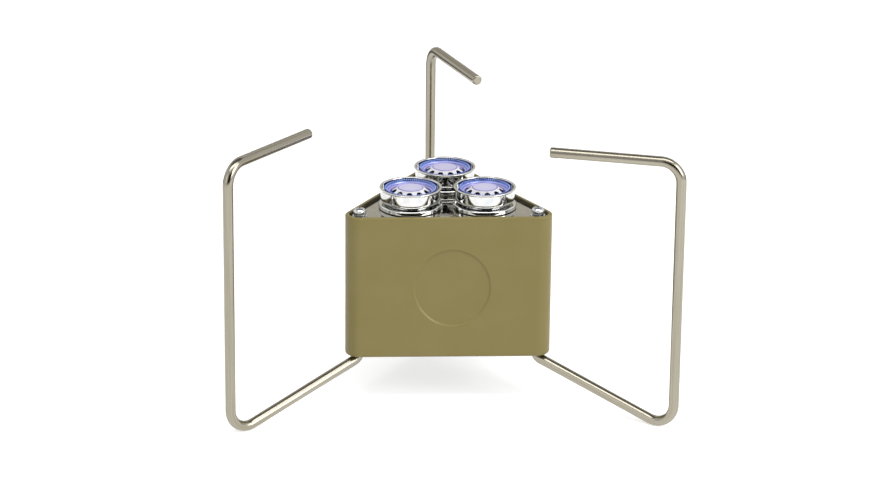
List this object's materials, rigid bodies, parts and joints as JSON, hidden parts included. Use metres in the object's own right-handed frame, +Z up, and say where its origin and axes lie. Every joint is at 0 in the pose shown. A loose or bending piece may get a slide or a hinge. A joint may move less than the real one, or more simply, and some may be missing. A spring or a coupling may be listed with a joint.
{
  "type": "camping stove",
  "caption": "Gas camping stove: burners in a triangular housing with bent wire legs that fold and end in pot supports.",
  "frame": {"origin": "centre of the housing's underside", "axes": "+Z up; -Y out of the wall with the round recess; +X to the right as seen from that wall"},
  "size_m": [0.2173, 0.2002, 0.1373],
  "materials": {
    "olive_coat": "satin olive powder coat on extruded aluminium",
    "polished_steel": "mirror-polished stainless sheet",
    "chrome": "bright chrome plate",
    "satin_rod": "drawn stainless rod, satin",
    "bright_zinc": "bright zinc plate",
    "tinted_ring": "steel with a blue-violet heat tint",
    "tinted_cap": "steel with a pale lavender heat tint",
    "brass": "turned brass",
    "black_coat": "matte black coat",
    "polymer": "moulded black polymer"
  },
  "bodies": {
    "stove_body": {"housing": "olive_coat", "top_plate": "polished_steel", "burner_base_left": "chrome", "burner_base_right": "chrome", "burner_base_rear": "chrome", "burner_cup_left": "chrome", "burner_cup_right": "chrome", "burner_cup_rear": "chrome", "burner_nut_left": "bright_zinc", "burner_nut_right": "bright_zinc", "burner_nut_rear": "bright_zinc", "closing_screw_1": "bright_zinc", "closing_screw_2": "bright_zinc", "closing_screw_3": "bright_zinc", "inlet_nut": "bright_zinc", "flame_ring_left": "tinted_ring", "flame_ring_right": "tinted_ring", "flame_ring_rear": "tinted_ring", "burner_cap_left": "tinted_cap", "burner_cap_right": "tinted_cap", "burner_cap_rear": "tinted_cap", "gas_distributor": "brass", "inlet_fitting": "brass", "feed_pipe": "brass", "mixing_tube_left": "brass", "mixing_tube_right": "brass", "mixing_tube_rear": "brass", "jet_left": "brass", "jet_right": "brass", "jet_rear": "brass", "bottom_plate": "black_coat", "inlet_seal": "polymer", "lower_bush_left": "polymer", "lower_bush_right": "polymer", "lower_bush_rear": "polymer", "upper_bush_left": "polymer", "upper_bush_right": "polymer", "upper_bush_rear": "polymer"},
    "left_leg": {"leg_left": "satin_rod", "leg_screw_left": "bright_zinc", "flat_washer_left": "bright_zinc", "spring_washer_left": "bright_zinc"},
    "right_leg": {"leg_right": "satin_rod", "leg_screw_right": "bright_zinc", "flat_washer_right": "bright_zinc", "spring_washer_right": "bright_zinc"},
    "rear_leg": {"leg_rear": "satin_rod", "leg_screw_rear": "bright_zinc", "flat_washer_rear": "bright_zinc", "spring_washer_rear": "bright_zinc"}
  },
  "joints": [
    {"name": "left_leg_fold", "type": "hinge", "parent": "stove_body", "child": "left_leg", "pos_m": [-0.043, -0.02483, 0], "axis": [0, 0, 1], "range_deg": [-147.5, 60]},
    {"name": "right_leg_fold", "type": "hinge", "parent": "stove_body", "child": "right_leg", "pos_m": [0.043, -0.02483, 0], "axis": [0, 0, 1], "range_deg": [-138.9, 60]},
    {"name": "rear_leg_fold", "type": "hinge", "parent": "stove_body", "child": "rear_leg", "pos_m": [0, 0.04965, 0], "axis": [0, 0, 1], "range_deg": [-144.2, 60]}
  ]
}
